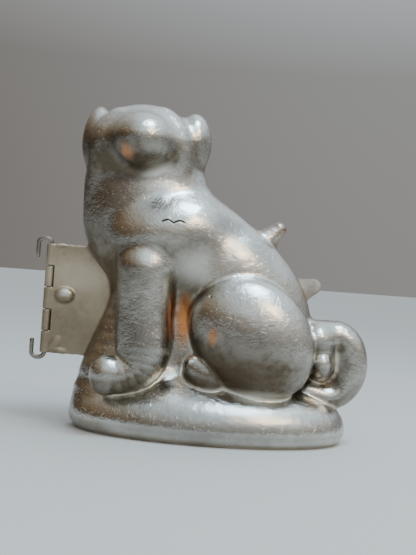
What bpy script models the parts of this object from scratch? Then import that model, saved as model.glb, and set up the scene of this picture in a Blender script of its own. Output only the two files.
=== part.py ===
# Hinged pewter mould for ice cream, shaped as a seated dog that looks out to the near side.
# Metres, +Z up. The two halves meet at the plane Y = 0, and the near half is at -Y.
# The origin is at the bottom, in the middle of the closed mould.

import math

import bmesh
import bpy
from mathutils import Matrix, Vector

MM = 0.001
NEAR = -1
FAR = 1

# Casting
WALL = 2.4 * MM                  # thickness of the cast wall
PARTING_GAP = 0.3 * MM           # space between the two halves when they are shut
SEAT = 0.3 * MM                  # space between a soldered piece and what it is soldered to
MESH_STEP = 1.3 * MM             # grain of the cast surface
SOFTENING_STEPS = 4              # rounds of smoothing that melt the swellings together
OUTSIDE_SHARE = 0.12             # share of its faces that the outside keeps
CAVITY_SHARE = 0.085             # share of its faces that the cavity keeps

# Ground that the dog sits on
GROUND_MIDDLE_X = 3.8 * MM
GROUND_HALF_LENGTH = 46.2 * MM
GROUND_HALF_DEPTH = 26.3 * MM
GROUND_HEIGHT = 13.5 * MM
GROUND_EDGE_HEIGHT = 5.0 * MM    # height of the widest line
GROUND_TUCK = 2.6 * MM           # how far the side draws in below that line
GROUND_SHOULDER = 9.0 * MM       # how far the side draws in above it
TURF_CENTRE = Vector((4.0, 0.0, 8.0)) * MM
TURF_RADII = (41.0 * MM, 22.0 * MM, 14.5 * MM)

# Body
CHEST_CENTRE = Vector((-18.4, 0.0, 67.2)) * MM
CHEST_RADII = (23.2 * MM, 16.0 * MM, 20.2 * MM)
WITHERS_CENTRE = Vector((-2.6, 0.0, 61.4)) * MM
WITHERS_RADII = (15.6 * MM, 13.5 * MM, 17.0 * MM)
RIBS_CENTRE = Vector((4.0, 0.0, 53.2)) * MM
RIBS_RADII = (29.3 * MM, 16.4 * MM, 20.2 * MM)
RIBS_TILT = math.radians(33.0)
RUMP_CENTRE = Vector((13.4, 0.0, 35.4)) * MM
RUMP_RADII = (23.4 * MM, 13.0 * MM, 26.6 * MM)
NECK_CENTRE = Vector((-22.3, 0.0, 80.4)) * MM
NECK_RADII = (20.4 * MM, 14.0 * MM, 23.4 * MM)

# Breast below the chest, which spreads into the ground, as (X, Y, Z), radius
BREAST = (
    ((-15.5, 0.0, 52.0), 15.8),
    ((-16.2, 0.0, 38.0), 16.2),
    ((-18.0, 0.0, 24.0), 19.0),
    ((-19.0, 0.0, 12.0), 22.4),
)
BREAST_FLATNESS = 0.62           # depth of the breast as a share of its width

# Head, which is turned to the near side. Its left is the viewer's left.
HEAD_CENTRE = Vector((-23.4, 0.0, 93.8)) * MM
HEAD_RADII = (18.2 * MM, 17.0 * MM, 14.5 * MM)
MUZZLE_CENTRE = HEAD_CENTRE + Vector((0.6, -12.8, -0.2)) * MM
MUZZLE_RADII = (10.9 * MM, 12.6 * MM, 9.9 * MM)
LEFT_EAR_CENTRE = HEAD_CENTRE + Vector((-16.2, 0.0, 2.6)) * MM
LEFT_EAR_RADII = (4.7 * MM, 7.4 * MM, 10.4 * MM)
LEFT_EAR_TILT = math.radians(6.0)
RIGHT_EAR_CENTRE = HEAD_CENTRE + Vector((16.8, -0.6, 3.0)) * MM
RIGHT_EAR_RADII = (5.6 * MM, 8.8 * MM, 9.6 * MM)
RIGHT_EAR_TILT = math.radians(-4.0)

# Limbs of one side, as (X, distance from the parting plane, Z), radius
SHOULDER_CENTRE = Vector((-14.6, 8.4, 64.6)) * MM
SHOULDER_RADII = (17.4 * MM, 12.2 * MM, 12.4 * MM)
SHOULDER_TILT = math.radians(-17.0)
FORELEG = (
    ((-19.2, 13.2, 53.2), 9.0),
    ((-18.9, 12.7, 45.0), 9.0),
    ((-18.8, 12.7, 36.0), 9.0),
    ((-18.2, 13.3, 28.5), 9.1),
    ((-19.6, 15.2, 22.0), 7.0),
    ((-25.0, 16.2, 19.2), 6.0),
)
TOE_CENTRE = Vector((-29.0, 16.4, 19.2)) * MM
TOE_RADII = (5.6 * MM, 6.2 * MM, 6.8 * MM)
HAUNCH_CENTRE = Vector((16.2, 13.0, 33.7)) * MM
HAUNCH_RADII = (22.4 * MM, 12.4 * MM, 18.4 * MM)
HAUNCH_TILT = math.radians(41.0)
HIND_FOOT_CENTRE = Vector((2.6, 14.6, 21.4)) * MM
HIND_FOOT_RADII = (8.5 * MM, 8.2 * MM, 6.0 * MM)
HIND_FOOT_TILT = math.radians(30.0)

# Tail, a curl that runs out from under the rump, up, over the top and down along the haunch
TAIL = (
    ((36.5, 0.0, 16.6), 4.9),
    ((42.7, 0.0, 15.3), 4.6),
    ((47.6, 0.0, 16.8), 4.4),
    ((51.2, 0.0, 21.2), 4.1),
    ((52.3, 0.0, 27.2), 4.0),
    ((50.2, 0.0, 33.2), 4.2),
    ((45.6, 0.0, 36.5), 4.5),
    ((41.2, 0.0, 34.6), 4.5),
    ((40.3, 0.0, 30.2), 4.1),
    ((41.0, 0.0, 26.4), 4.2),
)
TAIL_TIP_CENTRE = Vector((41.0, 0.0, 25.4)) * MM  # lobe that the curl ends in, by the haunch
TAIL_TIP_RADII = (4.4 * MM, 8.0 * MM, 5.4 * MM)
TAIL_THICKENING = 1.4            # how much thicker the curl is across the parting plane
TAIL_EYE_CENTRE = Vector((46.6, 0.0, 28.2)) * MM  # web that closes the eye of the curl
TAIL_EYE_RADII = (5.0 * MM, 4.8 * MM, 8.4 * MM)
TAIL_TOP_CENTRE = Vector((39.4, 0.0, 35.6)) * MM  # fills the corner between the curl and the rump
TAIL_TOP_RADII = (4.8 * MM, 7.4 * MM, 5.0 * MM)

# Opening lugs, one cast on each half and set apart, so that a thumb can part the halves
NEAR_LUG = (
    ((18.6, 0.0, 65.0), 4.9),
    ((23.4, 0.0, 69.8), 2.7),
)
FAR_LUG = (
    ((30.4, 0.0, 49.4), 5.0),
    ((36.2, 0.0, 51.7), 2.8),
)

# Hinge
HINGE_X = -52.1 * MM
HINGE_BOTTOM = 23.2 * MM
HINGE_HEIGHT = 36.6 * MM
LEAF_THICKNESS = 1.55 * MM
LEAF_CORNER = 0.25 * MM          # rounding of the leaf's edges
KNUCKLE_COUNT = 5
KNUCKLE_GAP = 0.3 * MM
KNUCKLE_WALL = 0.5 * MM
PIN_RADIUS = 0.75 * MM
PIN_CLEARANCE = 0.2 * MM
HOOK_HALF_WIDTH = 2.15 * MM      # bend of the wire beyond the barrel
HOOK_HEIGHT = 1.65 * MM
TOP_HOOK_LENGTH = 5.0 * MM       # straight wire after the bend
BOTTOM_HOOK_LENGTH = 4.5 * MM
HOOK_STEPS = 10
ROUND_SIDES = 24
DOME_SIDES = 16

# Register of the two leaves: a stud on the far leaf enters a domed socket in the near one
REGISTER_FROM_PIN = 5.8 * MM
REGISTER_Z = 42.9 * MM
DOME_RADII = (3.2 * MM, 1.8 * MM, 2.6 * MM)
STUD_RADIUS = 1.6 * MM
STUD_TIP_RADIUS = 0.8 * MM
STUD_LENGTH = 1.5 * MM
STUD_CLEARANCE = 0.35 * MM

BARREL_RADIUS = PIN_RADIUS + PIN_CLEARANCE + KNUCKLE_WALL
KNUCKLE_PITCH = HINGE_HEIGHT / KNUCKLE_COUNT
STAGE = 300.0 * MM               # reach of the blocks that halve the castings
SUNK = 3.0 * MM                  # how far the ground is made below the table before it is cut flat


def clear_scene():
    for thing in list(bpy.data.objects):
        bpy.data.objects.remove(thing, do_unlink=True)


def make_collection(name):
    collection = bpy.data.collections.new(name)
    bpy.context.scene.collection.children.link(collection)
    return collection


def make_material(name, colour, roughness):
    material = bpy.data.materials.new(name)
    material.use_nodes = True
    shader = material.node_tree.nodes["Principled BSDF"]
    shader.inputs["Base Color"].default_value = (*colour, 1.0)
    shader.inputs["Roughness"].default_value = roughness
    shader.inputs["Metallic"].default_value = 1.0
    return material


def link_object(name, data, collection, material=None):
    thing = bpy.data.objects.new(name, data)
    collection.objects.link(thing)
    if material is not None:
        data.materials.append(material)
    return thing


def mesh_from(form, name):
    mesh = bpy.data.meshes.new(name)
    form.to_mesh(mesh)
    form.free()
    return mesh


def evaluated_mesh(thing):
    graph = bpy.context.evaluated_depsgraph_get()
    return bpy.data.meshes.new_from_object(thing.evaluated_get(graph), depsgraph=graph)


def make_cutter(name, form, collection):
    cutter = link_object(name, mesh_from(form, name), collection)
    cutter.hide_render = True
    cutter.display_type = "WIRE"
    return cutter


def combine(thing, other, operation="DIFFERENCE"):
    boolean = thing.modifiers.new(other.name, "BOOLEAN")
    boolean.object = other
    boolean.operation = operation
    boolean.solver = "EXACT"


def add_box(form, low, high):
    low, high = Vector(low), Vector(high)
    size = Matrix.Diagonal((*(high - low), 1.0))
    bmesh.ops.create_cube(form, size=1.0, matrix=Matrix.Translation((low + high) / 2.0) @ size)


def add_cylinder(form, centre, axis, length, radius, end_radius=None):
    """A cylinder about its centre, or a cone that narrows along the axis."""
    turn = Vector(axis).to_track_quat("Z", "Y").to_matrix().to_4x4()
    made = bmesh.ops.create_cone(
        form, cap_ends=True, segments=ROUND_SIDES, depth=length, radius1=radius,
        radius2=radius if end_radius is None else end_radius, matrix=Matrix.Translation(centre) @ turn,
    )
    for face in {face for corner in made["verts"] for face in corner.link_faces}:
        face.smooth = len(face.verts) < ROUND_SIDES


# Swellings of the dog. Their sizes are the outside's, and grow makes them larger all round.
def add_ball(form, centre, radii, grow=0.0, tilt=0.0, sides=32):
    size = Matrix.Diagonal([radius + grow for radius in radii] + [1.0])
    place = Matrix.Translation(centre) @ Matrix.Rotation(tilt, 4, "Y")
    made = bmesh.ops.create_uvsphere(
        form, u_segments=sides, v_segments=sides // 2, radius=1.0, matrix=place @ size,
    )
    for face in {face for corner in made["verts"] for face in corner.link_faces}:
        face.smooth = True


def add_limb(form, stations, grow, depth=1.0):
    """A smooth tapered tube with round ends. depth is its size along Y as a share of the other."""
    curve = bpy.data.curves.new("limb", "CURVE")
    curve.dimensions = "3D"
    curve.bevel_depth = 1.0
    curve.bevel_resolution = 4
    curve.resolution_u = 8
    curve.use_fill_caps = True
    spline = curve.splines.new("BEZIER")
    spline.bezier_points.add(len(stations) - 1)
    for point, (centre, radius) in zip(spline.bezier_points, stations):
        point.co = centre
        point.radius = radius + grow
        point.handle_left_type = "AUTO"
        point.handle_right_type = "AUTO"
    tube = link_object("limb", curve, bpy.context.scene.collection)
    mesh = evaluated_mesh(tube)
    start = Vector(stations[0][0])
    squash = Matrix.Translation((0.0, start.y * (1.0 - depth), 0.0)) @ Matrix.Diagonal((1, depth, 1, 1))
    mesh.transform(squash)
    form.from_mesh(mesh)
    bpy.data.objects.remove(tube)
    bpy.data.curves.remove(curve)
    bpy.data.meshes.remove(mesh)
    for centre, radius in (stations[0], stations[-1]):
        add_ball(form, centre, (radius + grow, (radius + grow) * depth, radius + grow))


def to_side(centre, side):
    return Vector((centre[0], centre[1] * side, centre[2]))


def in_metres(stations, side=FAR):
    return [(to_side(centre, side) * MM, radius * MM) for centre, radius in stations]


def add_ground(form, grow):
    """A turned profile, rounded at its edge and drawn in below it, flattened to an oval."""
    reach = GROUND_HALF_LENGTH + grow
    top = GROUND_HEIGHT + grow
    above, below = 8, 4
    outline = [(0.0, top)]
    for step in range(above + 1):
        turn = math.radians(90.0) * step / above
        outline.append((
            reach - GROUND_SHOULDER * (1.0 - math.sin(turn)),
            GROUND_EDGE_HEIGHT + (top - GROUND_EDGE_HEIGHT) * math.cos(turn),
        ))
    for step in range(1, below + 1):
        turn = math.radians(90.0) * step / below
        outline.append((
            reach - GROUND_TUCK * (1.0 - math.cos(turn)),
            GROUND_EDGE_HEIGHT * (1.0 - math.sin(turn)),
        ))
    outline.append((reach - GROUND_TUCK, -SUNK))
    outline.append((0.0, -SUNK))
    profile = bmesh.new()
    corners = [profile.verts.new((x, 0.0, z)) for x, z in outline]
    for start, end in zip(corners, corners[1:]):
        profile.edges.new((start, end))
    turned = link_object("ground", mesh_from(profile, "ground"), bpy.context.scene.collection)
    screw = turned.modifiers.new("turn", "SCREW")
    screw.steps = 64
    screw.render_steps = 64
    screw.use_merge_vertices = True
    screw.merge_threshold = 0.01 * MM
    mesh = evaluated_mesh(turned)
    oval = Matrix.Diagonal((1.0, (GROUND_HALF_DEPTH + grow) / reach, 1.0, 1.0))
    mesh.transform(Matrix.Translation((GROUND_MIDDLE_X, 0.0, 0.0)) @ oval)
    form.from_mesh(mesh)
    bpy.data.objects.remove(turned)
    bpy.data.meshes.remove(mesh)


def dog_form(grow, lug=None):
    """All the swellings of the dog and its ground, still as overlapping closed bodies."""
    form = bmesh.new()
    add_ground(form, grow)
    add_ball(form, TURF_CENTRE, TURF_RADII, grow)
    add_limb(form, in_metres(BREAST), grow, BREAST_FLATNESS)
    add_ball(form, CHEST_CENTRE, CHEST_RADII, grow)
    add_ball(form, WITHERS_CENTRE, WITHERS_RADII, grow)
    add_ball(form, RIBS_CENTRE, RIBS_RADII, grow, RIBS_TILT)
    add_ball(form, RUMP_CENTRE, RUMP_RADII, grow)
    add_ball(form, NECK_CENTRE, NECK_RADII, grow)
    add_ball(form, HEAD_CENTRE, HEAD_RADII, grow)
    add_ball(form, MUZZLE_CENTRE, MUZZLE_RADII, grow)
    add_ball(form, LEFT_EAR_CENTRE, LEFT_EAR_RADII, grow, LEFT_EAR_TILT)
    add_ball(form, RIGHT_EAR_CENTRE, RIGHT_EAR_RADII, grow, RIGHT_EAR_TILT)
    for side in (NEAR, FAR):
        add_ball(form, to_side(SHOULDER_CENTRE, side), SHOULDER_RADII, grow, SHOULDER_TILT)
        add_limb(form, in_metres(FORELEG, side), grow)
        add_ball(form, to_side(TOE_CENTRE, side), TOE_RADII, grow)
        add_ball(form, to_side(HAUNCH_CENTRE, side), HAUNCH_RADII, grow, HAUNCH_TILT)
        add_ball(form, to_side(HIND_FOOT_CENTRE, side), HIND_FOOT_RADII, grow, HIND_FOOT_TILT)
    add_limb(form, in_metres(TAIL), grow, TAIL_THICKENING)
    add_ball(form, TAIL_TIP_CENTRE, TAIL_TIP_RADII, grow)
    add_ball(form, TAIL_EYE_CENTRE, TAIL_EYE_RADII, grow)
    add_ball(form, TAIL_TOP_CENTRE, TAIL_TOP_RADII, grow)
    if lug is not None:
        add_limb(form, in_metres(lug), grow)
    return form


def melt_together(thing, share):
    """Turns the overlapping swellings into one soft cast surface."""
    skin = thing.modifiers.new("skin", "REMESH")
    skin.mode = "VOXEL"
    skin.voxel_size = MESH_STEP
    skin.use_smooth_shade = True
    soften = thing.modifiers.new("soften", "SMOOTH")
    soften.factor = 0.5
    soften.iterations = SOFTENING_STEPS
    plain = thing.modifiers.new("plain", "DECIMATE")
    plain.ratio = share


def make_room(name, floor, side, collection):
    """A block that fills one side of the parting gap, above the floor."""
    near_edge, far_edge = sorted((side * PARTING_GAP / 2.0, side * STAGE))
    form = bmesh.new()
    add_box(form, (-STAGE, near_edge, floor), (STAGE, far_edge, STAGE))
    return make_cutter(name, form, collection)


def make_shell(name, side, lug, cavity, material, parts, cutters):
    """One half of the mould: its side of the dog, hollowed to the wall and flat where it stands."""
    shell = link_object(name, mesh_from(dog_form(0.0, lug), name), parts, material)
    melt_together(shell, OUTSIDE_SHARE)
    combine(shell, make_room(name + "_room", 0.0, side, cutters), "INTERSECT")
    combine(shell, cavity)
    return shell


def knuckle_heights(side):
    """The start and end of each of this leaf's knuckles. The near leaf has the end ones."""
    first = 0 if side == NEAR else 1
    return [
        (HINGE_BOTTOM + KNUCKLE_PITCH * place, HINGE_BOTTOM + KNUCKLE_PITCH * (place + 1))
        for place in range(first, KNUCKLE_COUNT, 2)
    ]


def make_knuckles(name, side, cutters):
    form = bmesh.new()
    for start, end in knuckle_heights(side):
        middle = (HINGE_X, 0.0, (start + end) / 2.0)
        add_cylinder(form, middle, (0, 0, 1), end - start - KNUCKLE_GAP, BARREL_RADIUS)
    return make_cutter(name, form, cutters)


def make_notches(name, side, cutters):
    """Room in one leaf for the knuckles of the other."""
    form = bmesh.new()
    reach = BARREL_RADIUS + KNUCKLE_GAP
    for start, end in knuckle_heights(-side):
        add_box(
            form,
            (HINGE_X - reach, -reach, start - KNUCKLE_GAP / 2.0),
            (HINGE_X + reach, reach, end + KNUCKLE_GAP / 2.0),
        )
    return make_cutter(name, form, cutters)


def make_bore(name, cutters):
    form = bmesh.new()
    middle = (HINGE_X, 0.0, HINGE_BOTTOM + HINGE_HEIGHT / 2.0)
    add_cylinder(form, middle, (0, 0, 1), HINGE_HEIGHT * 2.0, PIN_RADIUS + PIN_CLEARANCE)
    return make_cutter(name, form, cutters)


def add_stud(form, clearance):
    """The far leaf's stud, which starts inside its leaf, or the room that it needs in the near one."""
    root = FAR * LEAF_THICKNESS / 2.0
    tip = FAR * PARTING_GAP / 2.0 - STUD_LENGTH - clearance
    middle = (HINGE_X + REGISTER_FROM_PIN, (root + tip) / 2.0, REGISTER_Z)
    add_cylinder(form, middle, (0, -1, 0), root - tip, STUD_RADIUS + clearance, STUD_TIP_RADIUS + clearance)


def make_leaf(name, side, bed, bore, material, parts, cutters):
    """A flat cast leaf with its knuckles, trimmed to the outside of the casting it is soldered to."""
    form = bmesh.new()
    inner, outer = sorted((side * PARTING_GAP / 2.0, side * LEAF_THICKNESS))
    top = HINGE_BOTTOM + HINGE_HEIGHT - KNUCKLE_GAP / 2.0
    add_box(form, (HINGE_X, inner, HINGE_BOTTOM + KNUCKLE_GAP / 2.0), (BREAST[0][0][0] * MM, outer, top))
    leaf = link_object(name, mesh_from(form, name), parts, material)
    corner = leaf.modifiers.new("corner", "BEVEL")
    corner.width = LEAF_CORNER
    corner.segments = 2
    combine(leaf, make_notches(name + "_notches", side, cutters))
    combine(leaf, make_knuckles(name + "_knuckles", side, cutters), "UNION")
    combine(leaf, bore)
    register = bmesh.new()
    if side == NEAR:
        place = Vector((HINGE_X + REGISTER_FROM_PIN, side * LEAF_THICKNESS, REGISTER_Z))
        add_ball(register, place, DOME_RADII, sides=DOME_SIDES)
        combine(leaf, make_cutter("register_dome", register, cutters), "UNION")
        socket = bmesh.new()
        add_stud(socket, STUD_CLEARANCE)
        combine(leaf, make_cutter("register_socket", socket, cutters))
    else:
        add_stud(register, 0.0)
        combine(leaf, make_cutter("register_stud", register, cutters), "UNION")
    combine(leaf, bed)
    return leaf


def hook_points(height, direction, length):
    """The bend and the straight end of the wire beyond one end of the barrel."""
    points = []
    for step in range(HOOK_STEPS + 1):
        turn = math.pi * step / HOOK_STEPS
        points.append((
            HINGE_X - HOOK_HALF_WIDTH * (1.0 - math.cos(turn)),
            0.0,
            height + direction * HOOK_HEIGHT * math.sin(turn),
        ))
    points.append((HINGE_X - 2.0 * HOOK_HALF_WIDTH, 0.0, height - direction * length))
    return points


def make_pin(name, material, parts):
    """A round wire, put through the barrel and bent over at both ends."""
    top = hook_points(HINGE_BOTTOM + HINGE_HEIGHT, 1, TOP_HOOK_LENGTH)
    bottom = hook_points(HINGE_BOTTOM, -1, BOTTOM_HOOK_LENGTH)
    points = list(reversed(bottom)) + top
    wire = bpy.data.curves.new(name, "CURVE")
    wire.dimensions = "3D"
    wire.bevel_depth = PIN_RADIUS
    wire.bevel_resolution = 3
    wire.use_fill_caps = True
    spline = wire.splines.new("POLY")
    spline.points.add(len(points) - 1)
    pin = link_object(name, wire, parts, material)
    pin.location = (HINGE_X, 0.0, HINGE_BOTTOM)
    for point, place in zip(spline.points, points):
        point.co = (*(Vector(place) - pin.location), 1.0)
    return pin


def hang_on_hinge(name, pieces, parts):
    """Puts the pieces that swing together under an empty on the hinge's axis, where they are."""
    axis = link_object(name, None, parts)
    axis.location = (HINGE_X, 0.0, HINGE_BOTTOM + HINGE_HEIGHT / 2.0)
    bpy.context.view_layer.update()
    for piece in pieces:
        piece.parent = axis
        piece.matrix_parent_inverse = axis.matrix_world.inverted()


def main():
    clear_scene()
    parts = make_collection("ice_cream_mould")
    cutters = make_collection("cutters")
    pewter = make_material("pewter", (0.45, 0.44, 0.42), 0.3)
    near_leaf_pewter = make_material("near_leaf_pewter", (0.36, 0.34, 0.30), 0.5)
    far_leaf_pewter = make_material("far_leaf_pewter", (0.36, 0.34, 0.30), 0.5)
    far_pewter = make_material("far_pewter", (0.45, 0.44, 0.42), 0.3)
    steel = make_material("steel_wire", (0.30, 0.29, 0.28), 0.4)

    cavity = make_cutter("cavity", dog_form(-WALL), cutters)
    melt_together(cavity, CAVITY_SHARE)
    above_floor = bmesh.new()
    add_box(above_floor, (-STAGE, -STAGE, WALL), (STAGE, STAGE, STAGE))
    combine(cavity, make_cutter("above_floor", above_floor, cutters), "INTERSECT")
    bed = make_cutter("leaf_bed", dog_form(SEAT), cutters)
    melt_together(bed, OUTSIDE_SHARE)
    bore = make_bore("pin_bore", cutters)

    near_shell = make_shell("near_shell", NEAR, NEAR_LUG, cavity, pewter, parts, cutters)
    make_shell("far_shell", FAR, FAR_LUG, cavity, far_pewter, parts, cutters)
    near_leaf = make_leaf("near_hinge_leaf", NEAR, bed, bore, near_leaf_pewter, parts, cutters)
    make_leaf("far_hinge_leaf", FAR, bed, bore, far_leaf_pewter, parts, cutters)
    hang_on_hinge("near_half", (near_shell, near_leaf), parts)
    make_pin("hinge_pin", steel, parts)


main()
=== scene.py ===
# Looks of a hinged pewter mould for ice cream, shaped as a seated dog that looks to the near side.
# Metres, in the frame of the CAD part. The swellings of the castings are written in millimetres.

import math

import bmesh
import bpy
import numpy as np
from mathutils import Matrix, Vector
from mathutils.geometry import delaunay_2d_cdt


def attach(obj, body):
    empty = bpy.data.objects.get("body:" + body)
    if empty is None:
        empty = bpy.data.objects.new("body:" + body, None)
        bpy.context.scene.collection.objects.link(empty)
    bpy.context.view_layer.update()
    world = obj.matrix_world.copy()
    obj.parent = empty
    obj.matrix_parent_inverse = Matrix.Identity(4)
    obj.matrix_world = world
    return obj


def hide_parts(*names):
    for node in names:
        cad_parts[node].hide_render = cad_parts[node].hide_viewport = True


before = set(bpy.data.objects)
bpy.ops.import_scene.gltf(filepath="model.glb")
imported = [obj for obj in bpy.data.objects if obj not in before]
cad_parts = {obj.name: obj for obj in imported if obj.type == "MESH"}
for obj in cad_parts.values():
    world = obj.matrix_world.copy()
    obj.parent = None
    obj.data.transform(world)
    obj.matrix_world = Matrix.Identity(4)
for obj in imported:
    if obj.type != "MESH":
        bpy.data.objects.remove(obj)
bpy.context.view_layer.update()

# Near half of the mould. It is cast in pewter in a mould of its own, about 2.4 mm thick, with the dog
# swelling out of it in soft rounded masses, and worn by hands and cleaning to a grey shine.
# Its lug, a stub at the edge of the back, is cast in one with it and is pushed to part the halves.
MM = 0.001
NEAR, FAR = -1, 1
WALL = 2.4
PARTING_GAP = 0.3
FLUSH = 0.0001                            # a point this near to a cut lies in it
RIM_SLACK = 0.05                          # the skin's corners stray this far from its form
ALL_TRIANGLES, SAME_POINT = 0, 0.00001    # how the flat faces are filled
CREASE_ROUNDS = 5                         # rounds of smoothing that only the sharp creases differ from
OUTSIDE_GRAIN, CAVITY_GRAIN = 1.15, 1.5   # spacing of the first points, which are then split once
CAST_SHRINK = 0.12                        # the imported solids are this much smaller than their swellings
SKIN_X, SKIN_Z, SKIN_DEPTH = (-47, 59), (-5, 111), 27.5   # both castings lie inside these
BEYOND_PARTING = 4.0                      # the skins are drawn this far past the parting plane, then cut
GROUND_TOP, GROUND_SHOULDER, GROUND_EDGE, GROUND_TUCK = 13.5, 9.0, 5.0, 2.6
GROUND_MIDDLE_X, GROUND_HALF_LENGTH, GROUND_HALF_DEPTH = 3.8, 46.2, 26.3


def melt(first, second, fillet):
    """The union of two swellings, with a fillet of about this size where they meet."""
    overlap = np.maximum(fillet - np.abs(first - second), 0.0) / fillet
    return np.minimum(first, second) - overlap * overlap * fillet / 4.0


def ball(at, centre, radii, tilt=0.0):
    """Distance to an egg. A tilt in degrees lowers its right end."""
    x, y, z = at[0] - centre[0], at[1] - centre[1], at[2] - centre[2]
    if tilt:
        lean = math.radians(tilt)
        x, z = x * math.cos(lean) - z * math.sin(lean), x * math.sin(lean) + z * math.cos(lean)
    near = np.sqrt((x / radii[0]) ** 2 + (y / radii[1]) ** 2 + (z / radii[2]) ** 2) + 1e-6
    far = np.sqrt((x / radii[0] ** 2) ** 2 + (y / radii[1] ** 2) ** 2 + (z / radii[2] ** 2) ** 2) + 1e-6
    return near * (near - 1.0) / far


def limb(at, stations, flatness=1.0):
    """Distance to a tapered limb through stations of X, Y, Z and radius."""
    distance = None
    for start, end in zip(stations, stations[1:]):
        along = [end[axis] - start[axis] for axis in range(3)]
        along[1] /= flatness
        off = [at[0] - start[0], (at[1] - start[1]) / flatness, at[2] - start[2]]
        share = (off[0] * along[0] + off[1] * along[1] + off[2] * along[2]) / sum(a * a for a in along)
        share = np.clip(share, 0.0, 1.0)
        gap = sum((o - share * a) ** 2 for o, a in zip(off, along))
        piece = np.sqrt(gap) - (start[3] + (end[3] - start[3]) * share)
        distance = piece if distance is None else np.minimum(distance, piece)
    return distance


def bent(stations, count):
    """Stations along a smooth curve through the given ones."""
    knots = [np.array(s, float) for s in stations]
    knots = [knots[0], *knots, knots[-1]]
    smooth = []
    for place in range(len(stations) - 1):
        a, b, c, d = knots[place:place + 4]
        for step in range(count):
            t = step / count
            smooth.append(
                0.5 * (2 * b + (c - a) * t + (2 * a - 5 * b + 4 * c - d) * t ** 2
                       + (3 * b - a - 3 * c + d) * t ** 3)
            )
    smooth.append(knots[-1])
    return smooth


def ground(at):
    """A low oval mound with a round shoulder, drawn in a little where it stands."""
    x, y, z = at[0] - GROUND_MIDDLE_X, at[1], at[2]
    stretch = GROUND_HALF_LENGTH / GROUND_HALF_DEPTH
    reach = np.sqrt(x ** 2 + (y * stretch) ** 2) + 1e-6
    steepness = np.sqrt(x ** 2 + (y * stretch ** 2) ** 2) / reach
    low = np.clip((GROUND_EDGE - z) / GROUND_EDGE, 0.0, 1.0)
    side = (reach - GROUND_HALF_LENGTH) / np.maximum(steepness, 1.0) + GROUND_TUCK * low ** 2.2
    out, up = side + GROUND_SHOULDER, z - GROUND_TOP + GROUND_SHOULDER
    corner = np.sqrt(np.maximum(out, 0.0) ** 2 + np.maximum(up, 0.0) ** 2)
    return corner + np.minimum(np.maximum(out, up), 0.0) - GROUND_SHOULDER


# Centre and radii of each swelling, and the tilt of those that lean
CHEST = (-18.4, 0, 67.2), (23.2, 16, 20.2)
NECK = (-22.3, 0, 80.4), (20.4, 14, 23.4)
RIBS = (-2.6, 0, 61.4), (15.6, 13.5, 17.0)
BACK = (4.0, 0, 53.2), (29.3, 16.4, 20.2), 33
RUMP = (13.4, 0, 35.4), (23.4, 13, 26.6)
GROUND_SWELL = (4, 0, 8), (41, 22, 14.5)
SHOULDER = (-14.6, 8.6, 64.6), (17.4, 12.2, 12.4), -17
FORE_FOOT = (-29.0, 16.4, 19.2), (5.6, 6.2, 6.8)
HIND_FOOT = (2.4, 12.9, 21.2), (8.3, 6.9, 6.0), 30
HAUNCH = (16.2, 13, 33.7), (22.4, 12.4, 18.4), 41
TAIL_EYE = (46.8, 0, 28.2), (6.2, 4.9, 9.2)
TAIL_TOP = (38.4, 0, 34.8), (6.2, 10.6, 6.0)
TAIL_TIP = (39.9, 0, 26.4), (5.3, 11.0, 6.6)
SKULL = (-23.4, 0, 93.8), (18.2, 17, 14.5)
MUZZLE = (-22.9, -12.8, 94.4), (10.1, 12.6, 9.3)
HINGE_SIDE_EAR = (-39.6, 0, 96.4), (4.7, 7.4, 10.4), 6
TAIL_SIDE_EAR = (-6.6, -0.6, 96.8), (5.6, 8.8, 9.6), -4

# Stations of X, Y, Z and radius along each limb
BREAST = bent(((-15.5, 0, 52, 15.8), (-16.2, 0, 38, 16.2), (-18, 0, 24, 19), (-19, 0, 12, 22.4)), 3)
FORELEG = bent((
    (-19.2, 13.2, 53.2, 9.0), (-18.9, 12.7, 45, 9.0), (-18.8, 12.7, 36, 9.0), (-18.2, 13.3, 28.5, 9.1),
    (-19.6, 15.2, 22.0, 7.0), (-25.0, 16.2, 19.2, 6.0),
), 3)
CHEEKS = (
    bent((
        (-32.6, -7.4, 102, 1.8), (-35.6, -8.8, 97, 2.6), (-36.6, -8.4, 91, 2.6), (-36.4, -6.8, 84, 2.0),
        (-36.0, -4.8, 77, 1.0),
    ), 2),
    bent((
        (-17.0, -7.6, 103, 1.8), (-12.6, -9.8, 98, 2.4), (-11.2, -10.2, 92, 2.4), (-10.6, -8.4, 85, 2.0),
        (-9.0, -5.8, 77, 1.0),
    ), 2),
)
TAIL_CURL = bent((
    (36.5, 0, 16.6, 4.9), (42.7, 0, 15.3, 4.6), (47.6, 0, 16.8, 4.4), (50.6, 0, 21.4, 4.8),
    (51.5, 0, 27.2, 4.8), (49.6, 0, 32.9, 4.9), (45.4, 0, 36.2, 4.8), (41.2, 0, 34.6, 4.5),
    (40.3, 0, 30.2, 4.1), (41.0, 0, 26.4, 4.2),
), 3)
NEAR_LUG = (18.6, 0, 65, 4.9), (23.4, 0, 69.8, 2.7)
LUG_FILLET = 1.0


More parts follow.
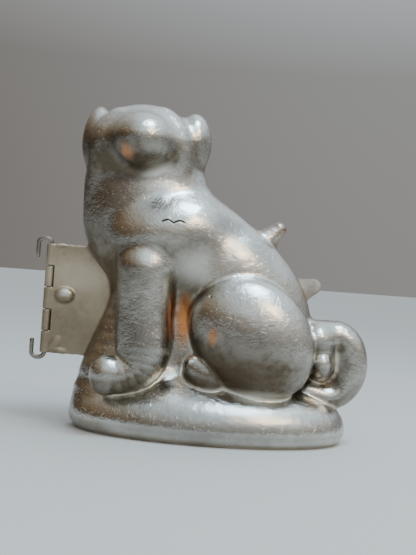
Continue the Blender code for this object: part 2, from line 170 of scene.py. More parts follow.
def trunk(at, side):
    """The dog and its ground, without the head and the lug. side tells the near half from the far one."""
    at = (at[0], at[1] * side, at[2])
    form = melt(ball(at, *CHEST), ball(at, *NECK), 5.0)
    form = melt(form, ball(at, *RIBS), 4.5)
    form = melt(form, ball(at, *BACK), 4.0)
    form = melt(form, ball(at, *RUMP), 5.0)
    form = melt(form, limb(at, BREAST, 0.62), 6.0)
    form = melt(form, ground(at), 3.0)
    form = melt(form, ball(at, *GROUND_SWELL), 4.0)
    # The shoulder melts away towards the ribs and the breast, and the leg is sharpest at both its ends
    softer = np.clip(3.6 + 0.4 * (at[0] + 19.0) + 0.25 * (66.0 - at[2]), 3.6, 8.0)
    form = melt(form, ball(at, *SHOULDER), softer)
    softer = np.clip((at[2] - 20.0) * 0.16, 1.2, 4.0) - np.clip((at[2] - 54) * 0.3, 0, 1.4)
    form = melt(form, limb(at, FORELEG), softer)
    form = melt(form, ball(at, *FORE_FOOT), 1.2)
    form = melt(form, ball(at, *HIND_FOOT), 1.0)
    form = melt(form, ball(at, *HAUNCH), 1.2)
    curl = melt(limb(at, TAIL_CURL, 1.3), ball(at, *TAIL_EYE), 3.4)
    curl = melt(curl, ball(at, *TAIL_TOP), 3.0)
    curl = melt(curl, ball(at, *TAIL_TIP), np.clip(0.9 + 0.9 * (at[2] - 28.0), 0.9, 6.0))
    return melt(form, curl, np.clip((at[2] - 20.0) * 0.35, 1.0, 2.6))


def add_head(at, form):
    """The head faces the near side, so its muzzle is on the near half and its nape on the far one."""
    form = melt(form, ball(at, *SKULL), 4.0)
    for cheek in CHEEKS:
        form = melt(form, limb(at, cheek), 5.0)
    form = melt(form, ball(at, *MUZZLE), 3.0)
    form = melt(form, ball(at, *HINGE_SIDE_EAR), 2.2)
    return melt(form, ball(at, *TAIL_SIDE_EAR), 2.6)


def near_outside(at):
    return melt(add_head(at, trunk(at, NEAR)), limb(at, NEAR_LUG), LUG_FILLET) + CAST_SHRINK


def near_cavity(at):
    return add_head(at, trunk(at, NEAR)) + CAST_SHRINK + WALL


def draw_onto(form, points, rounds):
    """Moves points straight onto the surface of a form."""
    reach = 0.03
    for _ in range(rounds):
        here = form(points.T)
        away = [(form((points + reach * np.eye(3)[axis]).T) - here) / reach for axis in range(3)]
        away = np.stack(away, axis=1)
        steep = np.maximum((away ** 2).sum(axis=1), 0.05)
        points = points - away * np.clip(here / steep, -1.0, 1.0)[:, None]
    return points


def evened(values, faces):
    """Each point's values moved to the mean of its neighbours'."""
    total, share = np.zeros_like(values), np.zeros(len(values))
    for corner in range(4):
        for beside in (faces[:, corner - 1], faces[:, (corner + 1) % 4]):
            share += np.bincount(faces[:, corner], minlength=len(values))
            for column in range(values.shape[1]):
                total[:, column] += np.bincount(faces[:, corner], values[beside, column], len(values))
    return total / np.maximum(share, 1.0)[:, None]


def split_once(points, faces):
    """Each four-sided face split into four."""
    sides = np.sort(np.stack([faces, np.roll(faces, -1, axis=1)], axis=2).reshape(-1, 2), axis=1)
    edges, number = np.unique(sides, axis=0, return_inverse=True)
    number = number.reshape(-1, 4) + len(points)
    middle = np.arange(len(faces)) + len(points) + len(edges)
    quarters = [
        np.stack([faces[:, corner], number[:, corner], middle, number[:, corner - 1]], axis=1)
        for corner in range(4)
    ]
    points = np.concatenate([points, points[edges].mean(axis=1), points[faces].mean(axis=1)])
    return points, np.concatenate(quarters)


def cast_surface(form, low, high, grain):
    """Points and four-sided faces on the surface of a form, inside a box."""
    ticks = [np.arange(a, b + grain, grain) for a, b in zip(low, high)]
    inside = form((ticks[0][:, None, None], ticks[1][None, :, None], ticks[2][None, None, :])) < 0.0
    count = np.zeros([n - 1 for n in inside.shape], np.int8)
    for i in (0, 1):
        for j in (0, 1):
            for k in (0, 1):
                count += inside[tuple(slice(o, n - 1 + o) for o, n in zip((i, j, k), inside.shape))]
    crossed = (count > 0) & (count < 8)
    number = np.full(count.shape, -1)
    number[crossed] = np.arange(crossed.sum())
    middles = [ticks[axis][cell] + grain / 2 for axis, cell in enumerate(np.nonzero(crossed))]
    points = np.stack(middles, axis=1)
    faces = []
    for axis in range(3):
        one, two = (axis + 1) % 3, (axis + 2) % 3
        turned = np.moveaxis(inside, (axis, one, two), (0, 1, 2))[:, 1:-1, 1:-1]
        cells = np.moveaxis(number, (axis, one, two), (0, 1, 2))
        for outward, change in ((True, turned[:-1] & ~turned[1:]), (False, ~turned[:-1] & turned[1:])):
            i, j, k = np.nonzero(change)
            ring = [cells[i, j, k], cells[i, j + 1, k], cells[i, j + 1, k + 1], cells[i, j, k + 1]]
            faces.append(np.stack(ring if outward else ring[::-1], axis=1))
    faces = np.concatenate(faces)
    points = draw_onto(form, points, 3)
    points = draw_onto(form, evened(points, faces), 2)
    points, faces = split_once(points, faces)
    points = draw_onto(form, points, 2)
    return draw_onto(form, evened(points, faces), 1), faces


def store_wear_and_painted_light(mesh, points, faces):
    """Stores where the metal is dark, with painted shade on undersides and a painted brown reflection at the
    parting rim, and the mask of painted highlights along creases.
    """
    soft = points
    for _ in range(CREASE_ROUNDS):
        soft = evened(soft, faces)
    corner = points[faces]
    turned = np.cross(corner[:, 2] - corner[:, 0], corner[:, 3] - corner[:, 1])
    normal = np.stack([
        sum(np.bincount(faces[:, c], turned[:, axis], len(points)) for c in range(4)) for axis in range(3)
    ], axis=1)
    normal /= np.linalg.norm(normal, axis=1)[:, None] + 1e-12
    sunk = ((soft - points) * normal).sum(axis=1)
    # Painted shade on undersides, less of it down by the table. Then painted shade on sides that face the
    # hinge and painted light on sides that face away, and a painted brown reflection along the rim of the
    # parting
    underside = np.clip((0.30 - normal[:, 2]) * 1.9, 0.0, 1.0)
    underside *= np.clip((points[:, 2] + 4.0) / 14.0, 0.4, 1.0)
    left = 0.16 * np.clip(-normal[:, 0] - 0.1, 0.0, 1.0) - 0.25 * np.clip(normal[:, 0], 0.0, 1.0)
    rim = 0.4 * np.clip(1.0 - np.abs(points[:, 1]) / 1.8, 0.0, 1.0)
    tarnish_and_shade = 0.02 + underside + left + rim - np.clip(-4 * sunk, 0.0, 0.15)
    # A pale painted highlight along creases, where fillets catch the light, faded out on the head
    crease_highlight = np.clip((sunk - 0.1) * 8.0, 0.0, 1.0) * np.clip((86.0 - points[:, 2]) / 10.0, 0.2, 1.0)
    crease_highlight = evened(crease_highlight[:, None], faces)[:, 0]
    for name, values in (("tarnish_and_shade", tarnish_and_shade), ("crease_highlight", crease_highlight)):
        mesh.attributes.new(name, "FLOAT", "POINT").data.foreach_set("value", np.clip(values, 0.0, 1.0))


def cut_flat(skin, place, beyond, way, solid, material):
    """Cuts away what lies beyond a plane, and closes the cut with a flat face that looks this way."""
    everything = skin.verts[:] + skin.edges[:] + skin.faces[:]
    bmesh.ops.bisect_plane(skin, geom=everything, plane_co=place, plane_no=beyond, clear_outer=True)
    skin.verts.index_update()
    flush = {corner for corner in skin.verts if abs((corner.co - Vector(place)).dot(beyond)) < FLUSH}
    rim = [edge for edge in skin.edges if len(edge.link_faces) == 1 and flush.issuperset(edge.verts)]
    corners = sorted({corner for edge in rim for corner in edge.verts}, key=lambda corner: corner.index)
    number = {corner: order for order, corner in enumerate(corners)}
    across = [axis for axis in range(3) if abs(beyond[axis]) < 0.5]
    flat, _, triangles, sources = delaunay_2d_cdt(
        [Vector([corner.co[axis] for axis in across]) for corner in corners],
        [tuple(number[corner] for corner in edge.verts) for edge in rim], [], ALL_TRIANGLES, SAME_POINT,
    )[:4]
    middles = np.tile(np.array(place, float), (len(triangles), 1))
    middles[:, across] = np.array(flat)[np.array(triangles)].mean(axis=1)
    for triangle, depth in zip(triangles, solid(middles.T)):
        if depth > RIM_SLACK or not all(sources[point] for point in triangle):
            continue
        ring = [corners[sources[point][0]] for point in triangle]
        if len(set(ring)) < 3 or skin.faces.get(ring):
            continue
        face = skin.faces.new(ring)
        face.material_index = material
        face.normal_update()
        if face.normal.dot(Vector(way)) < 0:
            face.normal_flip()


OUTSIDE, JOINT_FACE, LINING = 0, 1, 2     # which of a casting's metals a face has


def cast_shell(name, side, outside, cavity):
    """A hollow half: its outside and its cavity, cut flat at the parting plane and where it stands."""
    shell = bmesh.new()
    low, high = zip(SKIN_X, sorted((-BEYOND_PARTING * side, SKIN_DEPTH * side)), SKIN_Z)
    for form, grain, floor, inward in (
        (outside, OUTSIDE_GRAIN, 0.0, False), (cavity, CAVITY_GRAIN, WALL, True),
    ):
        points, faces = cast_surface(form, low, high, grain)
        mesh = bpy.data.meshes.new(name)
        mesh.from_pydata(points.tolist(), [], (faces[:, ::-1] if inward else faces).tolist())
        mesh.shade_smooth()
        mesh.polygons.foreach_set("material_index", np.full(len(faces), LINING if inward else OUTSIDE))
        store_wear_and_painted_light(mesh, points, faces)
        skin = bmesh.new()
        skin.from_mesh(mesh)
        cut_flat(skin, (0, 0, floor), (0, 0, -1), (0, 0, 1 if inward else -1), form,
                 LINING if inward else JOINT_FACE)
        skin.to_mesh(mesh)
        skin.free()
        shell.from_mesh(mesh)
        bpy.data.meshes.remove(mesh)
    cut_flat(shell, (0, side * PARTING_GAP / 2, 0), (0, -side, 0), (0, -side, 0),
             lambda at: np.maximum(outside(at), -np.maximum(cavity(at), WALL - at[2])), JOINT_FACE)
    bmesh.ops.scale(shell, vec=(MM, MM, MM), verts=shell.verts)
    mesh = bpy.data.meshes.new(name)
    shell.to_mesh(mesh)
    shell.free()
    piece = bpy.data.objects.new(name, mesh)
    bpy.context.scene.collection.objects.link(piece)
    return piece


def add_node(tree, kind, **inputs):
    """A shader node with its settings, and its inputs as links or values."""
    node = tree.nodes.new(kind)
    for name, value in inputs.items():
        if hasattr(node, name):
            setattr(node, name, value)
            continue
        numbered = name[0] == "i" and name[1:].isdigit()
        socket = node.inputs[int(name[1:]) if numbered else name.replace("_", " ")]
        if isinstance(value, bpy.types.NodeSocket):
            tree.links.new(value, socket)
        else:
            socket.default_value = value
    return node


def band(tree, value, start, end, first=1.0, last=0.0):
    """A soft step from one value to another."""
    return add_node(
        tree, "ShaderNodeMapRange", interpolation_type="SMOOTHSTEP", Value=value,
        From_Min=start, From_Max=end, To_Min=first, To_Max=last,
    ).outputs[0]


def reckon(tree, operation, *values):
    """The result of a mathematical step on links or values."""
    return add_node(tree, "ShaderNodeMath", operation=operation,
                    **{"i%d" % place: value for place, value in enumerate(values)}).outputs[0]


def between(tree, operation, first, second):
    """The result of a step on two vectors, links or values."""
    return add_node(tree, "ShaderNodeVectorMath", operation=operation, i0=first, i1=second).outputs


def nicks(tree, place, spacing, width, reach, share):
    """1 in thin straight nicks scattered over a surface, in this share of its cells, and 0 beside them."""
    scaled = add_node(tree, "ShaderNodeVectorMath", operation="SCALE", i0=place, Scale=1.0 / spacing)
    scaled = scaled.outputs[0]
    seeds = add_node(tree, "ShaderNodeTexVoronoi", Vector=scaled, Scale=1.0, Randomness=1.0)
    off = between(tree, "SUBTRACT", scaled, seeds.outputs["Position"])[0]
    lean = between(tree, "SUBTRACT", seeds.outputs["Color"], (0.5, 0.5, 0.5))[0]
    lean = add_node(tree, "ShaderNodeVectorMath", operation="NORMALIZE", i0=lean).outputs[0]
    across = reckon(tree, "ABSOLUTE", between(tree, "DOT_PRODUCT", off, lean)["Value"])
    chance = add_node(tree, "ShaderNodeSeparateColor", Color=seeds.outputs["Color"]).outputs[0]
    drawn = reckon(tree, "LESS_THAN", chance, share)
    mark = reckon(tree, "MULTIPLY", band(tree, across, 0.3 * width / spacing, width / spacing),
                  band(tree, seeds.outputs["Distance"], 0.6 * reach / spacing, reach / spacing))
    return reckon(tree, "MULTIPLY", mark, drawn)


def spot(tree, place, centre, radii):
    """1 in the middle of a soft egg-shaped spot at this place on the casting, in mm, and 0 outside it."""
    off = between(tree, "SUBTRACT", place, [MM * part for part in centre])[0]
    off = between(tree, "DIVIDE", off, [MM * part for part in radii])[0]
    away = add_node(tree, "ShaderNodeVectorMath", operation="LENGTH", i0=off).outputs["Value"]
    return band(tree, away, 0.2, 1.0)


def crack(tree, place, start, end, rise, width):
    """1 along a hair crack of two shallow arcs between two places on the near half, in mm."""
    along, deep, up = add_node(tree, "ShaderNodeSeparateXYZ", Vector=place).outputs
    share = add_node(tree, "ShaderNodeMapRange", clamp=False, Value=along, From_Min=MM * start[0],
                     From_Max=MM * end[0]).outputs[0]
    arc = reckon(tree, "ABSOLUTE", reckon(tree, "SINE", reckon(tree, "MULTIPLY", share, 2 * math.pi)))
    line = reckon(tree, "MULTIPLY_ADD", share, MM * (end[1] - start[1]), MM * start[1])
    line = reckon(tree, "MULTIPLY_ADD", arc, MM * rise, line)
    off = reckon(tree, "ABSOLUTE", reckon(tree, "SUBTRACT", up, line))
    mark = band(tree, off, 0.3 * MM * width, MM * width)
    ends = band(tree, reckon(tree, "ABSOLUTE", reckon(tree, "SUBTRACT", share, 0.5)), 0.4, 0.52)
    outside = band(tree, deep, -0.011, -0.009)
    return reckon(tree, "MULTIPLY", reckon(tree, "MULTIPLY", mark, ends), outside)


def mixed(tree, share, first, second):
    """One colour turning into another."""
    mix = add_node(tree, "ShaderNodeMix", data_type="RGBA", Factor=share)
    for socket, colour in ((mix.inputs[6], first), (mix.inputs[7], second)):
        if isinstance(colour, bpy.types.NodeSocket):
            tree.links.new(colour, socket)
        else:
            socket.default_value = (*colour, 1.0)
    return mix.outputs[2]


# Colours of the painted highlight in creases, and of the nicks' bare metal with a painted glint
CREASE_HIGHLIGHT, NICK_METAL_GLINT = (0.86, 0.80, 0.66), (0.92, 0.90, 0.85)
# Colour of the painted brown reflection along the parting rim, and of the dark crack
RIM_REFLECTION, CRACK_DARK = (0.30, 0.155, 0.08), (0.03, 0.025, 0.02)
# Heights of the cast swells, the ripples and the grain, and depths of the nicks and the crack, in metres
SWELLS, RIPPLES, GRAIN, NICK_DEPTH, CRACK_DEPTH = 0.0008, 0.00028, 0.00012, 0.00005, 0.0003
CRACK_START, CRACK_END, CRACK_RISE, CRACK_WIDTH = (-15.1, 68.5), (-7.1, 68.4), 0.85, 0.45
# Scale, detail and roughness of the noise in clouds, in patches and in grains
NOISES = ((70.0, 4.0, 0.55), (420.0, 5.0, 0.68), (1500.0, 3.0, 0.6))
# Spacing, width and reach in metres, and the share of cells that have one
SHORT_NICKS, LONG_NICKS = (0.0014, 0.00012, 0.0006, 0.6), (0.0036, 0.00011, 0.0015, 0.5)


def worn_metal(name, polished, patina_and_shade_colour, gloss, dull, relief=1.0, nicked=1.0, edge=0.0, light_and_shade_spots=(), dents=(),
               cracked=False):
    """Worn pewter or wire: a shine, a brown patina mixed with painted shade, painted highlights in creases,
    painted spots of light and shade, ripples, pits and nicks with a painted glint.
    """
    material = bpy.data.materials.new(name)
    material.use_nodes = True
    tree = material.node_tree
    shader = tree.nodes["Principled BSDF"]
    shader.inputs["Metallic"].default_value = 1.0
    place = add_node(tree, "ShaderNodeTexCoord").outputs["Object"]
    stored_patina_and_shade = add_node(tree, "ShaderNodeAttribute", attribute_name="tarnish_and_shade").outputs["Fac"]
    crease_highlight = add_node(tree, "ShaderNodeAttribute", attribute_name="crease_highlight").outputs["Fac"]
    noises = [
        add_node(tree, "ShaderNodeTexNoise", Vector=place, Scale=scale, Detail=detail, Roughness=roughness)
        for scale, detail, roughness in NOISES
    ]
    cloud, mottle, grain = (noise.outputs[0] for noise in noises)
    short, long = (nicks(tree, place, *measures) for measures in (SHORT_NICKS, LONG_NICKS))
    # Brown patina lies in clouds and patches and is rubbed off the crests, and painted shade darkens the
    # undersides
    patina_and_shade = reckon(tree, "ADD", stored_patina_and_shade, band(tree, cloud, 0.36, 0.68, -0.10, 0.13))
    patches = band(tree, mottle, 0.42, 0.7, -0.04, 0.10)
    patina_and_shade = add_node(tree, "ShaderNodeMath", operation="ADD", i0=patina_and_shade, i1=patches, use_clamp=True).outputs[0]
    colour = mixed(tree, patina_and_shade, polished, patina_and_shade_colour)
    # A painted highlight along creases
    colour = mixed(tree, reckon(tree, "MULTIPLY", crease_highlight, 0.8), colour, CREASE_HIGHLIGHT)
    # Painted spots of light, shade and reflection
    for centre, radii, share, tint in light_and_shade_spots:
        painted_spot = reckon(tree, "MULTIPLY", spot(tree, place, centre, radii), share)
        colour = mixed(tree, painted_spot, colour, tint)
    # A painted brown reflection along the parting rim, as strong as edge
    if edge:
        away = reckon(tree, "ABSOLUTE", add_node(tree, "ShaderNodeSeparateXYZ", Vector=place).outputs[1])
        colour = mixed(tree, band(tree, away, 0.001, 0.005, edge), colour, RIM_REFLECTION)
    # Nicks show paler bare metal, with a painted glint that is strongest where the metal is clean
    scratched = reckon(tree, "MAXIMUM", short, long)
    shine = band(tree, patina_and_shade, 0.05, 0.45, 0.6 * nicked, 0.04 * nicked)
    colour = mixed(tree, reckon(tree, "MULTIPLY", scratched, shine), colour, NICK_METAL_GLINT)
    # From the largest relief to the finest, then the dents and the crack. What is sunk has a minus
    heights = [(cloud, SWELLS), (mottle, RIPPLES), (grain, GRAIN), (scratched, -NICK_DEPTH)]
    for centre, radii, depth in dents:
        heights.append((spot(tree, place, centre, radii), -depth))
    if cracked:
        gap = crack(tree, place, CRACK_START, CRACK_END, CRACK_RISE, CRACK_WIDTH)
        colour = mixed(tree, gap, colour, CRACK_DARK)
        heights.append((gap, -CRACK_DEPTH))
    tree.links.new(colour, shader.inputs["Base Color"])
    rough = reckon(tree, "MULTIPLY_ADD", patina_and_shade, dull - gloss, gloss)
    tree.links.new(reckon(tree, "MULTIPLY_ADD", crease_highlight, 0.12, rough), shader.inputs["Roughness"])
    normal = None
    for height, distance in heights:
        bump = add_node(tree, "ShaderNodeBump", Height=height, Strength=0.6, invert=distance < 0,
                        Distance=abs(distance) * relief)
        if normal is not None:
            tree.links.new(normal, bump.inputs["Normal"])
        normal = bump.outputs["Normal"]
    tree.links.new(normal, shader.inputs["Normal"])
    return material


# Colours of a painted copper reflection, deep shade, brown shade and grey shade, painted light and a painted
# highlight
COPPER_REFLECTION, DEEP_SHADE, BROWN_SHADE = (0.66, 0.26, 0.09), (0.045, 0.038, 0.026), (0.095, 0.066, 0.042)
GREY_SHADE, PAINTED_LIGHT, PAINTED_HIGHLIGHT = (0.25, 0.24, 0.225), (0.74, 0.72, 0.66), (0.93, 0.91, 0.85)
# Each painted spot of light, shade or reflection has a centre and radii in mm, its strength and its colour,
# and each dent a depth in metres
pewter = worn_metal(
    "cast_pewter", (0.69, 0.675, 0.625), (0.13, 0.102, 0.07), 0.16, 0.30, edge=0.65, cracked=True,
    light_and_shade_spots=(
        ((-18, -17, 68), (17, 12, 8), 0.7, PAINTED_LIGHT), ((1, -14, 56), (18, 12, 9), 0.75, PAINTED_LIGHT),
        ((-14, -14, 82), (11, 9, 7), 0.85, PAINTED_HIGHLIGHT), ((-17.7, -21, 58.2), (6, 6, 4), 0.7, PAINTED_HIGHLIGHT),
        ((21.3, -3, 68.5), (5, 6, 4), 0.6, PAINTED_HIGHLIGHT), ((13.5, -22, 15.8), (26, 9, 3.0), 0.9, PAINTED_HIGHLIGHT),
        ((2, -21, 46), (9, 7, 6), 0.6, PAINTED_LIGHT), ((0, -26, 6), (48, 10, 8), 0.5, GREY_SHADE),
        ((7.4, -12, 69.6), (11, 9, 6), 0.55, GREY_SHADE), ((17.7, -11, 60.7), (9, 9, 10), 0.3, GREY_SHADE),
        ((-18, -21, 31), (8, 7, 13), 0.6, GREY_SHADE), ((11.6, -24, 32.1), (14, 9, 8), 0.45, BROWN_SHADE),
        ((12, -21, 22.5), (19, 10, 9), 0.95, BROWN_SHADE), ((-20.9, -22, 86.3), (10, 8, 4.8), 0.85, BROWN_SHADE),
        ((-5.6, -11, 37.8), (4.3, 9, 12), 0.95, COPPER_REFLECTION), ((-6.6, -15, 25.5), (4.0, 7, 4.8), 0.9, DEEP_SHADE),
        ((-27.2, -21.5, 89.1), (3.2, 5, 4.6), 0.55, COPPER_REFLECTION),
        ((3.8, -22, 34.3), (2.3, 5, 4.2), 0.65, COPPER_REFLECTION),
    ),
    dents=(((1.3, -22, 47.4), (1.3, 4, 1.3), 0.0009), ((2.1, -21, 46.4), (0.7, 4, 0.7), 0.0006)),
)
joint_face = worn_metal(
    "sawn_pewter", (0.80, 0.76, 0.69), (0.36, 0.31, 0.25), 0.45, 0.62, relief=1.3,
)
lining = worn_metal(
    "lining_pewter", (0.60, 0.59, 0.56), (0.20, 0.17, 0.13), 0.30, 0.46, relief=0.7,
)
near_half = cast_shell("near_half_casting", NEAR, near_outside, near_cavity)
for layer in (pewter, joint_face, lining):
    near_half.data.materials.append(layer)
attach(near_half, "near_half")
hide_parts("near_shell")


# Far half of the mould, cast in the same pewter. It shows the dog's other side and the back of its
# head, and its lug stands lower on the back, so that the two lugs can be pushed apart.
FAR_LUG = (30.4, 0, 49.4, 5.0), (36.2, 0, 51.7, 2.8)


def far_outside(at):
    return melt(add_head(at, trunk(at, FAR)), limb(at, FAR_LUG), LUG_FILLET) + CAST_SHRINK


def far_cavity(at):
    return add_head(at, trunk(at, FAR)) + CAST_SHRINK + WALL


far_half = cast_shell("far_half_casting", FAR, far_outside, far_cavity)
for layer in (pewter, joint_face, lining):
    far_half.data.materials.append(layer)
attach(far_half, "far_half")
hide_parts("far_shell")

# Hinge leaves: two flat plates of duller pewter, soldered to the breast of the halves. Each has its share
# of the five knuckles, and the near one a domed socket that the stud of the far one enters.
# They are cast plain, with rough upper and lower edges, and a lump of solder is left by the lower hook.
HINGE_X, HINGE_BOTTOM, HINGE_HEIGHT = -52.1, 23.2, 36.6
BARREL_RADIUS, WIRE_RADIUS, BORE_RADIUS = 1.5, 0.75, 0.95
LEAF_THICKNESS, KNUCKLE_GAP, NOTCH_GAP, SOLDER_FILLET = 1.55, 0.3, 0.13, 1.3
KNUCKLES = 5
LEAF_END_X, LEAF_CORNER = -13, 0.28                            # the plates run in under the castings
DOME_X, DOME_Z, DOME_RADII = HINGE_X + 5.8, 42.9, (3.1, 1.7, 2.5)
STUD_RADII, STUD_DEPTHS, SOCKET_ROOM = (1.5, 0.8), (0.9, -0.55), 0.35
GROOVE_DEPTH = 0.22                                            # of the line scored along the barrel
SEAT_GAP, SOLDER_SINK, SOLDER_REACH = 0.08, 0.4, 2.2           # where the solder meets the casting
# Waves of the rough edges: height, pace and start
RAGGED = ((0.07, 2.1, 0.0), (0.05, 5.3, 1.0), (0.03, 11.0, 0.0))
LEAF_GRAIN, LEAF_BOX_X, LEAF_BOX_Z = 0.46, (HINGE_X - 2.5, -24.0), (22.0, 61.0)
# Lumps of solder: centre, radii, tilt and fillet
SOLDER_LUMPS = (
    ((HINGE_X + 3.6, -1.3, 26.4), (1.5, 0.75, 2.7), 25, 0.8),
    ((HINGE_X + 5.2, -1.2, 24.4), (2.3, 0.7, 0.8), 10, 0.7),
    ((HINGE_X + 3.4, -1.1, 59.3), (1.8, 0.8, 0.6), -8, 0.5),
)


def plate(at, low, high, corner):
    """Distance to a box with rounded edges."""
    off = [
        np.abs(at[axis] - (low[axis] + high[axis]) / 2) - (high[axis] - low[axis]) / 2 + corner
        for axis in range(3)
    ]
    beyond = np.sqrt(sum(np.maximum(o, 0.0) ** 2 for o in off))
    return beyond + np.minimum(np.maximum(np.maximum(off[0], off[1]), off[2]), 0.0) - corner


def leaf(at, side, outside):
    """One leaf, with the fillet of solder that holds it to its casting."""
    pitch = HINGE_HEIGHT / KNUCKLES
    first = HINGE_BOTTOM + pitch * (0.5 if side == NEAR else 1.5)
    middle = HINGE_BOTTOM + HINGE_HEIGHT / 2
    inner, outer = side * PARTING_GAP / 2, side * LEAF_THICKNESS
    deep = sorted((inner, outer))
    rough = sum(height * np.sin(pace * at[0] + start) for height, pace, start in RAGGED)
    high = at[2] - middle
    half = (HINGE_HEIGHT - KNUCKLE_GAP) / 2
    ragged = (at[0], at[1], high + rough * np.sign(high))
    form = plate(ragged, (HINGE_X, deep[0], -half), (LEAF_END_X, deep[1], half), LEAF_CORNER)
    if side == NEAR:
        form = melt(form, ball(at, (DOME_X, outer, DOME_Z), DOME_RADII), 0.9)
        for centre, radii, tilt, fillet in SOLDER_LUMPS:
            form = melt(form, ball(at, centre, radii, tilt), fillet)
    skin = outside(at) + SEAT_GAP
    soldered = np.maximum(melt(form, skin, SOLDER_FILLET), -(skin + SOLDER_SINK))
    form = np.maximum(soldered, form - SOLDER_REACH)
    form = np.maximum(form, (inner - at[1]) * side)
    from_pin = np.sqrt((at[0] - HINGE_X) ** 2 + at[1] ** 2)
    along = np.abs(np.mod(at[2] - first + pitch, 2 * pitch) - pitch) - (pitch - KNUCKLE_GAP) / 2
    # The notch is square, so that the plates' outer corners pass each other when the mould is wide open
    notch = BARREL_RADIUS + NOTCH_GAP - np.minimum(from_pin, at[0] - HINGE_X)
    form = np.maximum(form, np.minimum(along, notch))
    beside_barrel = np.abs(at[0] - HINGE_X - BARREL_RADIUS - NOTCH_GAP) - NOTCH_GAP
    form = np.maximum(form, -np.maximum(beside_barrel, LEAF_THICKNESS - GROOVE_DEPTH - np.abs(at[1])))
    knuckle = np.maximum(np.maximum(from_pin - BARREL_RADIUS, along), np.abs(high) - half)
    form = np.maximum(melt(form, knuckle, 0.25), BORE_RADIUS - from_pin)
    room = SOCKET_ROOM if side == NEAR else 0.0
    ends = [(DOME_X, depth, DOME_Z, radius + room) for depth, radius in zip(STUD_DEPTHS, STUD_RADII)]
    stud = limb(at, ends)
    return np.maximum(form, -stud) if side == NEAR else np.minimum(form, stud)


def near_leaf_form(at):
    return leaf(at, NEAR, near_outside)


def far_leaf_form(at):
    return leaf(at, FAR, far_outside)


def shaped_piece(name, form, low, high, grain, material, body, node):
    """A small piece drawn from its form, which stands for a node of the CAD part."""
    points, faces = cast_surface(form, low, high, grain)
    mesh = bpy.data.meshes.new(name)
    mesh.from_pydata((points * MM).tolist(), [], faces.tolist())
    mesh.shade_smooth()
    store_wear_and_painted_light(mesh, points, faces)
    mesh.materials.append(material)
    piece = bpy.data.objects.new(name, mesh)
    bpy.context.scene.collection.objects.link(piece)
    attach(piece, body)
    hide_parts(node)
    return piece


# Painted shade low on the leaves, painted light high on them, a painted highlight along the top edge and a
# cool painted highlight on the dome
LOW_LEAF_SHADE, HIGH_LEAF_LIGHT, COOL_HIGHLIGHT = (0.24, 0.195, 0.14), (0.95, 0.86, 0.68), (0.88, 0.95, 1.0)
leaf_pewter = worn_metal(
    "leaf_pewter", (0.72, 0.62, 0.46), (0.26, 0.21, 0.15), 0.38, 0.56, relief=0.35, nicked=0.3,
    light_and_shade_spots=(
        ((-42, -2, 28), (24, 8, 13), 0.5, LOW_LEAF_SHADE), ((-43, -2, 50), (18, 8, 9), 0.4, HIGH_LEAF_LIGHT),
        ((-33, -1, 60), (22, 3, 0.8), 0.8, PAINTED_HIGHLIGHT), ((-46.3, -3.2, 43.8), (2.6, 2.0, 1.7), 0.8, COOL_HIGHLIGHT),
    ),
)
for name, form, body, node, depth in (
    ("near_leaf", near_leaf_form, "near_half", "near_hinge_leaf", (-4.5, 2.5)),
    ("far_leaf", far_leaf_form, "far_half", "far_hinge_leaf", (-2.5, 2.8)),
):
    low, high = zip(LEAF_BOX_X, depth, LEAF_BOX_Z)
    shaped_piece(name, form, low, high, LEAF_GRAIN, leaf_pewter, body, node)


# Hinge pin: a piece of drawn steel wire, darkened with age, pushed down through the knuckles and bent
# over into an open hook at each end, so that it can't fall out.
HOOK_HALF_WIDTH, HOOK_HEIGHT = 2.15, 1.65
TOP_HOOK_LENGTH, BOTTOM_HOOK_LENGTH = 5.0, 4.5
HOOK_STEPS, WIRE_SIDES = 16, 20
HOOK_END_PARTS, END_THICKNESS = (0.25, 0.5, 0.75, 0.94, 1.0), 0.8   # the cut ends are rounded a little


def hook(height, way, length):
    """The wire's middle line beyond one end of the barrel."""
    line = []
    for step in range(HOOK_STEPS + 1):
        turn = math.pi * step / HOOK_STEPS
        x = HINGE_X - HOOK_HALF_WIDTH * (1 - math.cos(turn))
        line.append((x, height + way * HOOK_HEIGHT * math.sin(turn)))
    return line + [(line[-1][0], height - way * length * part) for part in HOOK_END_PARTS]


line = hook(HINGE_BOTTOM, -1, BOTTOM_HOOK_LENGTH)[::-1]
line += hook(HINGE_BOTTOM + HINGE_HEIGHT, 1, TOP_HOOK_LENGTH)
corners, skins = [], []
for place, (x, z) in enumerate(line):
    before, after = line[max(place - 1, 0)], line[min(place + 1, len(line) - 1)]
    lean = math.atan2(after[1] - before[1], after[0] - before[0])
    thickness = WIRE_RADIUS * (END_THICKNESS if place in (0, len(line) - 1) else 1.0)
    for side in range(WIRE_SIDES):
        turn = 2 * math.pi * side / WIRE_SIDES
        across = thickness * math.cos(turn)
        corners.append((x - across * math.sin(lean), thickness * math.sin(turn), z + across * math.cos(lean)))
        if place:
            here, beside = place * WIRE_SIDES + side, place * WIRE_SIDES + (side + 1) % WIRE_SIDES
            skins.append((here, here - WIRE_SIDES, beside - WIRE_SIDES, beside))
skins.append(tuple(range(WIRE_SIDES)))
skins.append(tuple(reversed(range(len(corners) - WIRE_SIDES, len(corners)))))
wire_mesh = bpy.data.meshes.new("wire_pin")
wire_mesh.from_pydata([tuple(MM * part for part in corner) for corner in corners], [], skins)
wire_mesh.shade_smooth()
wire_steel = worn_metal("wire_steel", (0.30, 0.27, 0.24), (0.10, 0.08, 0.06), 0.30, 0.5)
wire_mesh.materials.append(wire_steel)
wire_pin = bpy.data.objects.new("wire_pin", wire_mesh)
bpy.context.scene.collection.objects.link(wire_pin)
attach(wire_pin, "pin")
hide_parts("hinge_pin")

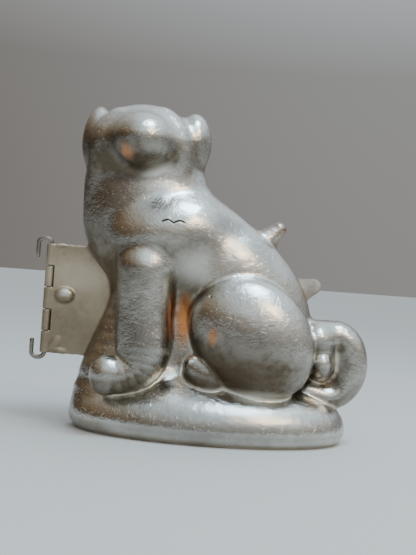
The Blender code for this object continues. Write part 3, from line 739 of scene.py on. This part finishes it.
# Studio: a pale paper floor that runs far back, a cool window and a warm lamp above, a room whose light
# the metal mirrors, and the camera as it was held for the photograph.
FLOOR_REACH = 9.0
PHOTO_WIDTH, PHOTO_HEIGHT = 416, 555
FOCAL_PIXELS = 895.5
CAMERA_ROLL = math.radians(4.2)
CAMERA_PLACE = (0.0009, -0.300, 0.0522)
LIGHTS_AIM = (0, 0, 0.05)

floor_mesh = bpy.data.meshes.new("floor")
floor_mesh.from_pydata(
    [(-FLOOR_REACH, -FLOOR_REACH, 0), (FLOOR_REACH, -FLOOR_REACH, 0), (FLOOR_REACH, FLOOR_REACH, 0),
     (-FLOOR_REACH, FLOOR_REACH, 0)], [], [(0, 1, 2, 3)])
floor = bpy.data.objects.new("floor", floor_mesh)
bpy.context.scene.collection.objects.link(floor)
paper = bpy.data.materials.new("paper")
paper.use_nodes = True
paper.node_tree.nodes["Principled BSDF"].inputs["Base Color"].default_value = (0.70, 0.69, 0.67, 1.0)
paper.node_tree.nodes["Principled BSDF"].inputs["Roughness"].default_value = 0.9
floor_mesh.materials.append(paper)


def soft_light(name, place, size, power, colour):
    light = bpy.data.lights.new(name, "AREA")
    light.shape = "RECTANGLE"
    light.size, light.size_y = size
    light.energy = power
    light.color = colour
    lamp = bpy.data.objects.new(name, light)
    lamp.location = place
    lamp.rotation_euler = (Vector(LIGHTS_AIM) - Vector(place)).to_track_quat("-Z", "Y").to_euler()
    bpy.context.scene.collection.objects.link(lamp)


soft_light("window", (0.17, -0.12, 0.62), (0.22, 0.16), 2.2, (0.60, 0.82, 1.0))
soft_light("lamp", (0.30, -0.32, 0.42), (0.10, 0.10), 0.55, (1.0, 0.74, 0.46))
world = bpy.data.worlds.new("studio")
bpy.context.scene.world = world
world.use_nodes = True
sky = world.node_tree
way = add_node(sky, "ShaderNodeSeparateXYZ", Vector=add_node(sky, "ShaderNodeTexCoord").outputs["Generated"])


def shades(along, low, high, colours):
    """Colours of the room along one of its directions."""
    share = add_node(sky, "ShaderNodeMapRange", interpolation_type="SMOOTHSTEP", Value=along, From_Min=low,
                     From_Max=high)
    ramp = add_node(sky, "ShaderNodeValToRGB", Fac=share.outputs[0])
    stops = ramp.color_ramp.elements
    stops[0].color = (*colours[0][1], 1.0)
    stops[1].position, stops[1].color = colours[-1][0], (*colours[-1][1], 1.0)
    for position, colour in colours[1:-1]:
        stops.new(position).color = (*colour, 1.0)
    return ramp.outputs["Color"]


def blended(kind, share, first, second):
    mix = add_node(sky, "ShaderNodeMix", data_type="RGBA", blend_type=kind, Factor=share)
    sky.links.new(first, mix.inputs[6])
    sky.links.new(second, mix.inputs[7])
    return mix.outputs[2]


front = shades(way.outputs["Z"], -0.35, 0.9, (
    (0.0, (0.05, 0.035, 0.025)), (0.12, (0.10, 0.085, 0.062)),
    (0.22, (0.24, 0.22, 0.18)), (0.36, (0.44, 0.42, 0.37)),
    (0.6, (0.74, 0.73, 0.70)), (0.85, (1.02, 1.17, 1.27)), (1.0, (1.06, 1.30, 1.48)),
))
behind = shades(way.outputs["Z"], -0.1, 0.9, (
    (0.0, (0.30, 0.29, 0.28)), (0.25, (0.32, 0.32, 0.315)),
    (0.6, (0.80, 0.88, 0.96)), (1.0, (1.22, 1.42, 1.60)),
))
turned_away = add_node(sky, "ShaderNodeMapRange", interpolation_type="SMOOTHSTEP", Value=way.outputs["Y"],
                       From_Min=-0.15, From_Max=0.45).outputs[0]
left = shades(way.outputs["X"], -0.95, 0.3, ((0.0, (0.29, 0.205, 0.13)), (1.0, (1.0, 1.0, 1.0))))
room = blended("MULTIPLY", 1.0, blended("MIX", turned_away, front, behind), left)
sky.links.new(room, sky.nodes["Background"].inputs["Color"])
sky.nodes["Background"].inputs["Strength"].default_value = 0.93

camera_data = bpy.data.cameras.new("camera")
camera_data.lens = FOCAL_PIXELS * camera_data.sensor_width / PHOTO_HEIGHT
camera_data.clip_start = 0.01
camera = bpy.data.objects.new("camera", camera_data)
bpy.context.scene.collection.objects.link(camera)
turn = Matrix((
    (math.cos(CAMERA_ROLL), -math.sin(CAMERA_ROLL), 0.0),
    (0.0, 0.0, -1.0),
    (math.sin(CAMERA_ROLL), math.cos(CAMERA_ROLL), 0.0),
))
camera.matrix_world = Matrix.Translation(CAMERA_PLACE) @ turn.to_4x4()
bpy.context.scene.camera = camera
